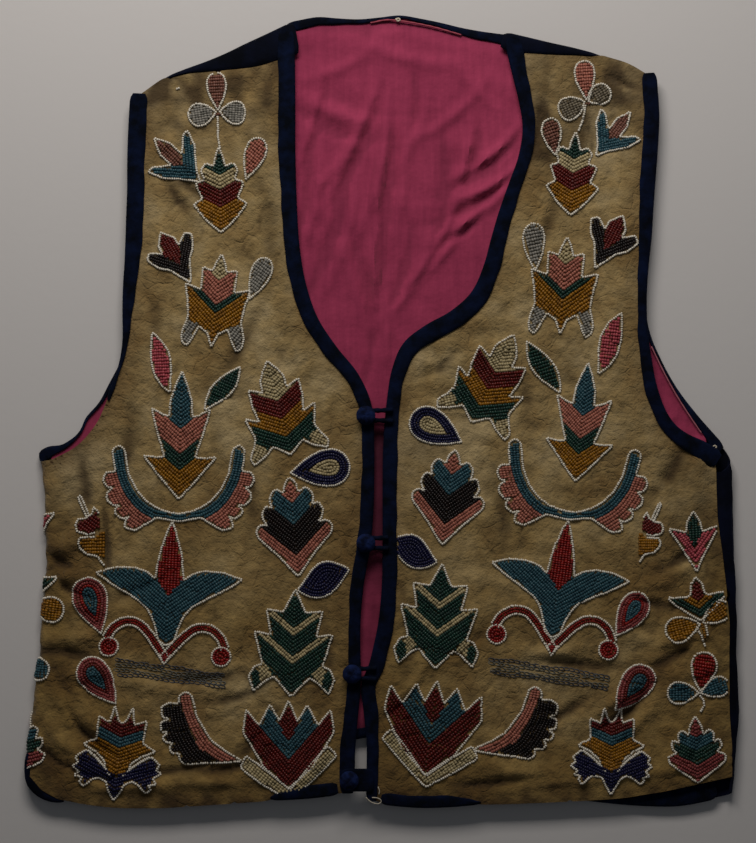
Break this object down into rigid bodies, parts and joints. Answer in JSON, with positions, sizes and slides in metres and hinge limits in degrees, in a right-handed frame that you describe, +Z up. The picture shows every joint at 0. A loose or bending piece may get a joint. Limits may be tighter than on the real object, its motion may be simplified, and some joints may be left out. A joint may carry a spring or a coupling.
{
  "type": "beaded vest",
  "caption": "Sleeveless hide vest laid flat and buttoned, with floral beadwork on the fronts, a velvet back and bindings, and a cotton lining showing at the neck.",
  "frame": {"origin": "centre of the vest's box, on the surface that it lies on", "axes": "+Z up out of the fronts, +Y from the hem towards the neck, +X to the right as seen from above"},
  "size_m": [0.472, 0.524, 0.0166],
  "materials": {
    "hide": "matte",
    "velvet": "matte",
    "binding": "matte",
    "cotton": "matte",
    "button_cloth": "satin",
    "beads": "gloss",
    "thread": "matte"
  },
  "bodies": {
    "root": {"front_left": "hide", "front_right": "hide", "back": "velvet", "shoulder_left": "velvet", "shoulder_right": "velvet", "lining": "cotton", "edge_binding_left": "binding", "edge_binding_right": "binding", "armhole_binding_front_left": "binding", "armhole_binding_front_right": "binding", "armhole_binding_back_left": "binding", "armhole_binding_back_right": "binding", "hem_binding_left": "binding", "hem_binding_right": "binding", "hem_binding_back": "binding", "neck_binding": "binding", "button_1": "button_cloth", "button_2": "button_cloth", "button_3": "button_cloth", "button_4": "button_cloth", "button_loop_1": "binding", "button_loop_2": "binding", "button_loop_3": "binding", "closing_tab": "binding"}
  },
  "joints": []
}
